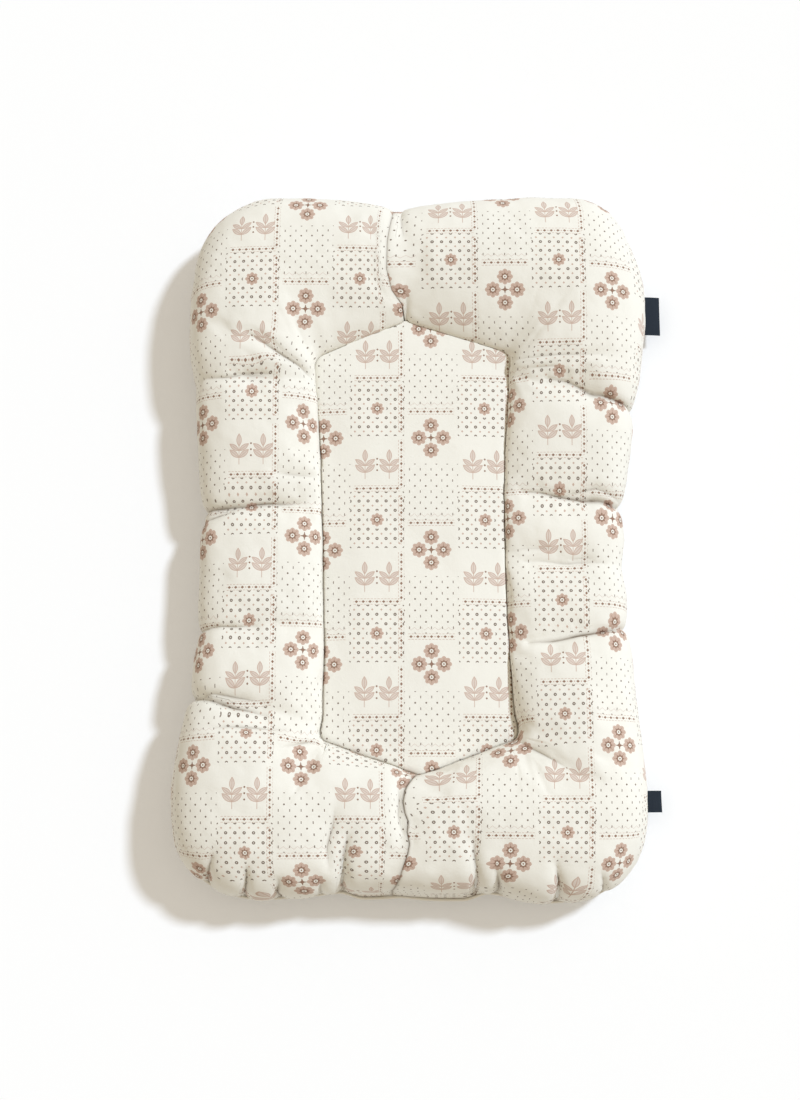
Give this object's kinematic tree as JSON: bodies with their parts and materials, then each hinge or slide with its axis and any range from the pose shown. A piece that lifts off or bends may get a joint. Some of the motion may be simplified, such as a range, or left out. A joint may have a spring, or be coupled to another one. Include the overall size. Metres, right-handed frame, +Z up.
{
  "type": "infant lounger",
  "caption": "Padded ring lounger for an infant: a stuffed bolster with sewn tucks, waisted in the middle, round a flat padded nest, in printed cotton.",
  "frame": {"origin": "middle of the lounger's length and width on the plane that it rests on, on the flat of the underside", "axes": "+Y to the head end, +X to the side that carries the labels, +Z up"},
  "size_m": [0.531, 0.7776, 0.105],
  "materials": {
    "printed_cotton": "matte",
    "plain_cotton": "matte",
    "piping_cotton": "matte",
    "fibre_filling": "matte",
    "navy_ribbon": "satin"
  },
  "bodies": {
    "lounger": {"bolster_cover_left": "printed_cotton", "bolster_cover_right": "printed_cotton", "centre_panel": "printed_cotton", "base_panel": "plain_cotton", "perimeter_piping": "piping_cotton", "centre_pad": "fibre_filling", "wad_head_corner_left": "fibre_filling", "wad_upper_side_left": "fibre_filling", "wad_middle_side_left": "fibre_filling", "wad_lower_side_left": "fibre_filling", "wad_foot_corner_left": "fibre_filling", "wad_head_corner_right": "fibre_filling", "wad_upper_side_right": "fibre_filling", "wad_middle_side_right": "fibre_filling", "wad_lower_side_right": "fibre_filling", "wad_foot_corner_right": "fibre_filling", "tuck_divider_1_left": "plain_cotton", "tuck_divider_2_left": "plain_cotton", "tuck_divider_3_left": "plain_cotton", "tuck_divider_4_left": "plain_cotton", "tuck_divider_1_right": "plain_cotton", "tuck_divider_2_right": "plain_cotton", "tuck_divider_3_right": "plain_cotton", "tuck_divider_4_right": "plain_cotton", "head_divider": "plain_cotton", "foot_divider": "plain_cotton"},
    "side_label": {"side_label": "navy_ribbon"},
    "care_label": {"care_label": "navy_ribbon"}
  },
  "joints": [
    {"name": "side_label_flex", "type": "hinge", "parent": "lounger", "child": "side_label", "pos_m": [0.25349, 0.26365, 0.02195], "axis": [0.0025, -1, 0], "range_deg": [-60, 60], "stiffness_Nm_per_rad": 0.0004},
    {"name": "care_label_flex", "type": "hinge", "parent": "lounger", "child": "care_label", "pos_m": [0.24344, -0.27867, 0.02195], "axis": [0.0272, -0.9996, 0], "range_deg": [-60, 60], "stiffness_Nm_per_rad": 0.0004}
  ]
}
